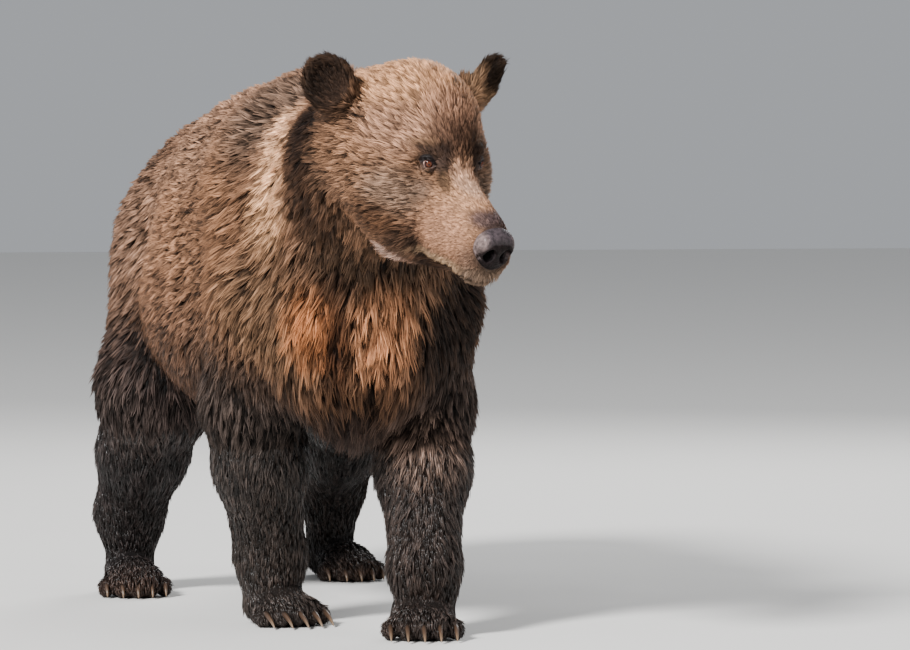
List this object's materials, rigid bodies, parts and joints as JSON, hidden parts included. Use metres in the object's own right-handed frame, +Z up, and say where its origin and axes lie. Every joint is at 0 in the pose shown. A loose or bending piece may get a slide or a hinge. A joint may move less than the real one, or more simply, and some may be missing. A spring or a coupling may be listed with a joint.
{
  "type": "grizzly bear",
  "caption": "Life-size still figure of a large male grizzly bear in mid-stride, head turned to its left, with a thick brown coat, humped shoulders and long claws.",
  "frame": {"origin": "on the floor, under the middle of the bear's bounding box", "axes": "the bear faces -Y, +X is its left side, +Z is up"},
  "size_m": [0.7884, 2.3218, 1.2539],
  "materials": {
    "body_fur": "long shaggy brown fur, lighter at the tips",
    "face_fur": "short greyish tan fur",
    "ear_fur": "dark plush fur",
    "leg_fur": "wet blackish brown fur",
    "nose": "moist, finely pebbled bare skin",
    "eyes": "wet, clear and glossy, amber-brown iris",
    "claws": "satin horn"
  },
  "bodies": {
    "root": {"barrel": "body_fur", "chest": "body_fur", "ear_left": "ear_fur", "ear_right": "ear_fur", "eye_left": "eyes", "eye_right": "eyes", "foreclaw_left_1": "claws", "foreclaw_left_2": "claws", "foreclaw_left_3": "claws", "foreclaw_left_4": "claws", "foreclaw_left_5": "claws", "foreclaw_right_1": "claws", "foreclaw_right_2": "claws", "foreclaw_right_3": "claws", "foreclaw_right_4": "claws", "foreclaw_right_5": "claws", "foreleg_left": "leg_fur", "foreleg_right": "leg_fur", "forepaw_left": "leg_fur", "forepaw_right": "leg_fur", "head": "face_fur", "hindclaw_left_1": "claws", "hindclaw_left_2": "claws", "hindclaw_left_3": "claws", "hindclaw_left_4": "claws", "hindclaw_left_5": "claws", "hindclaw_right_1": "claws", "hindclaw_right_2": "claws", "hindclaw_right_3": "claws", "hindclaw_right_4": "claws", "hindclaw_right_5": "claws", "hindleg_left": "leg_fur", "hindleg_right": "leg_fur", "hindpaw_left": "leg_fur", "hindpaw_right": "leg_fur", "lower_jaw": "face_fur", "muzzle": "face_fur", "neck": "body_fur", "nose": "nose", "rump": "body_fur", "tail": "body_fur"}
  },
  "joints": []
}
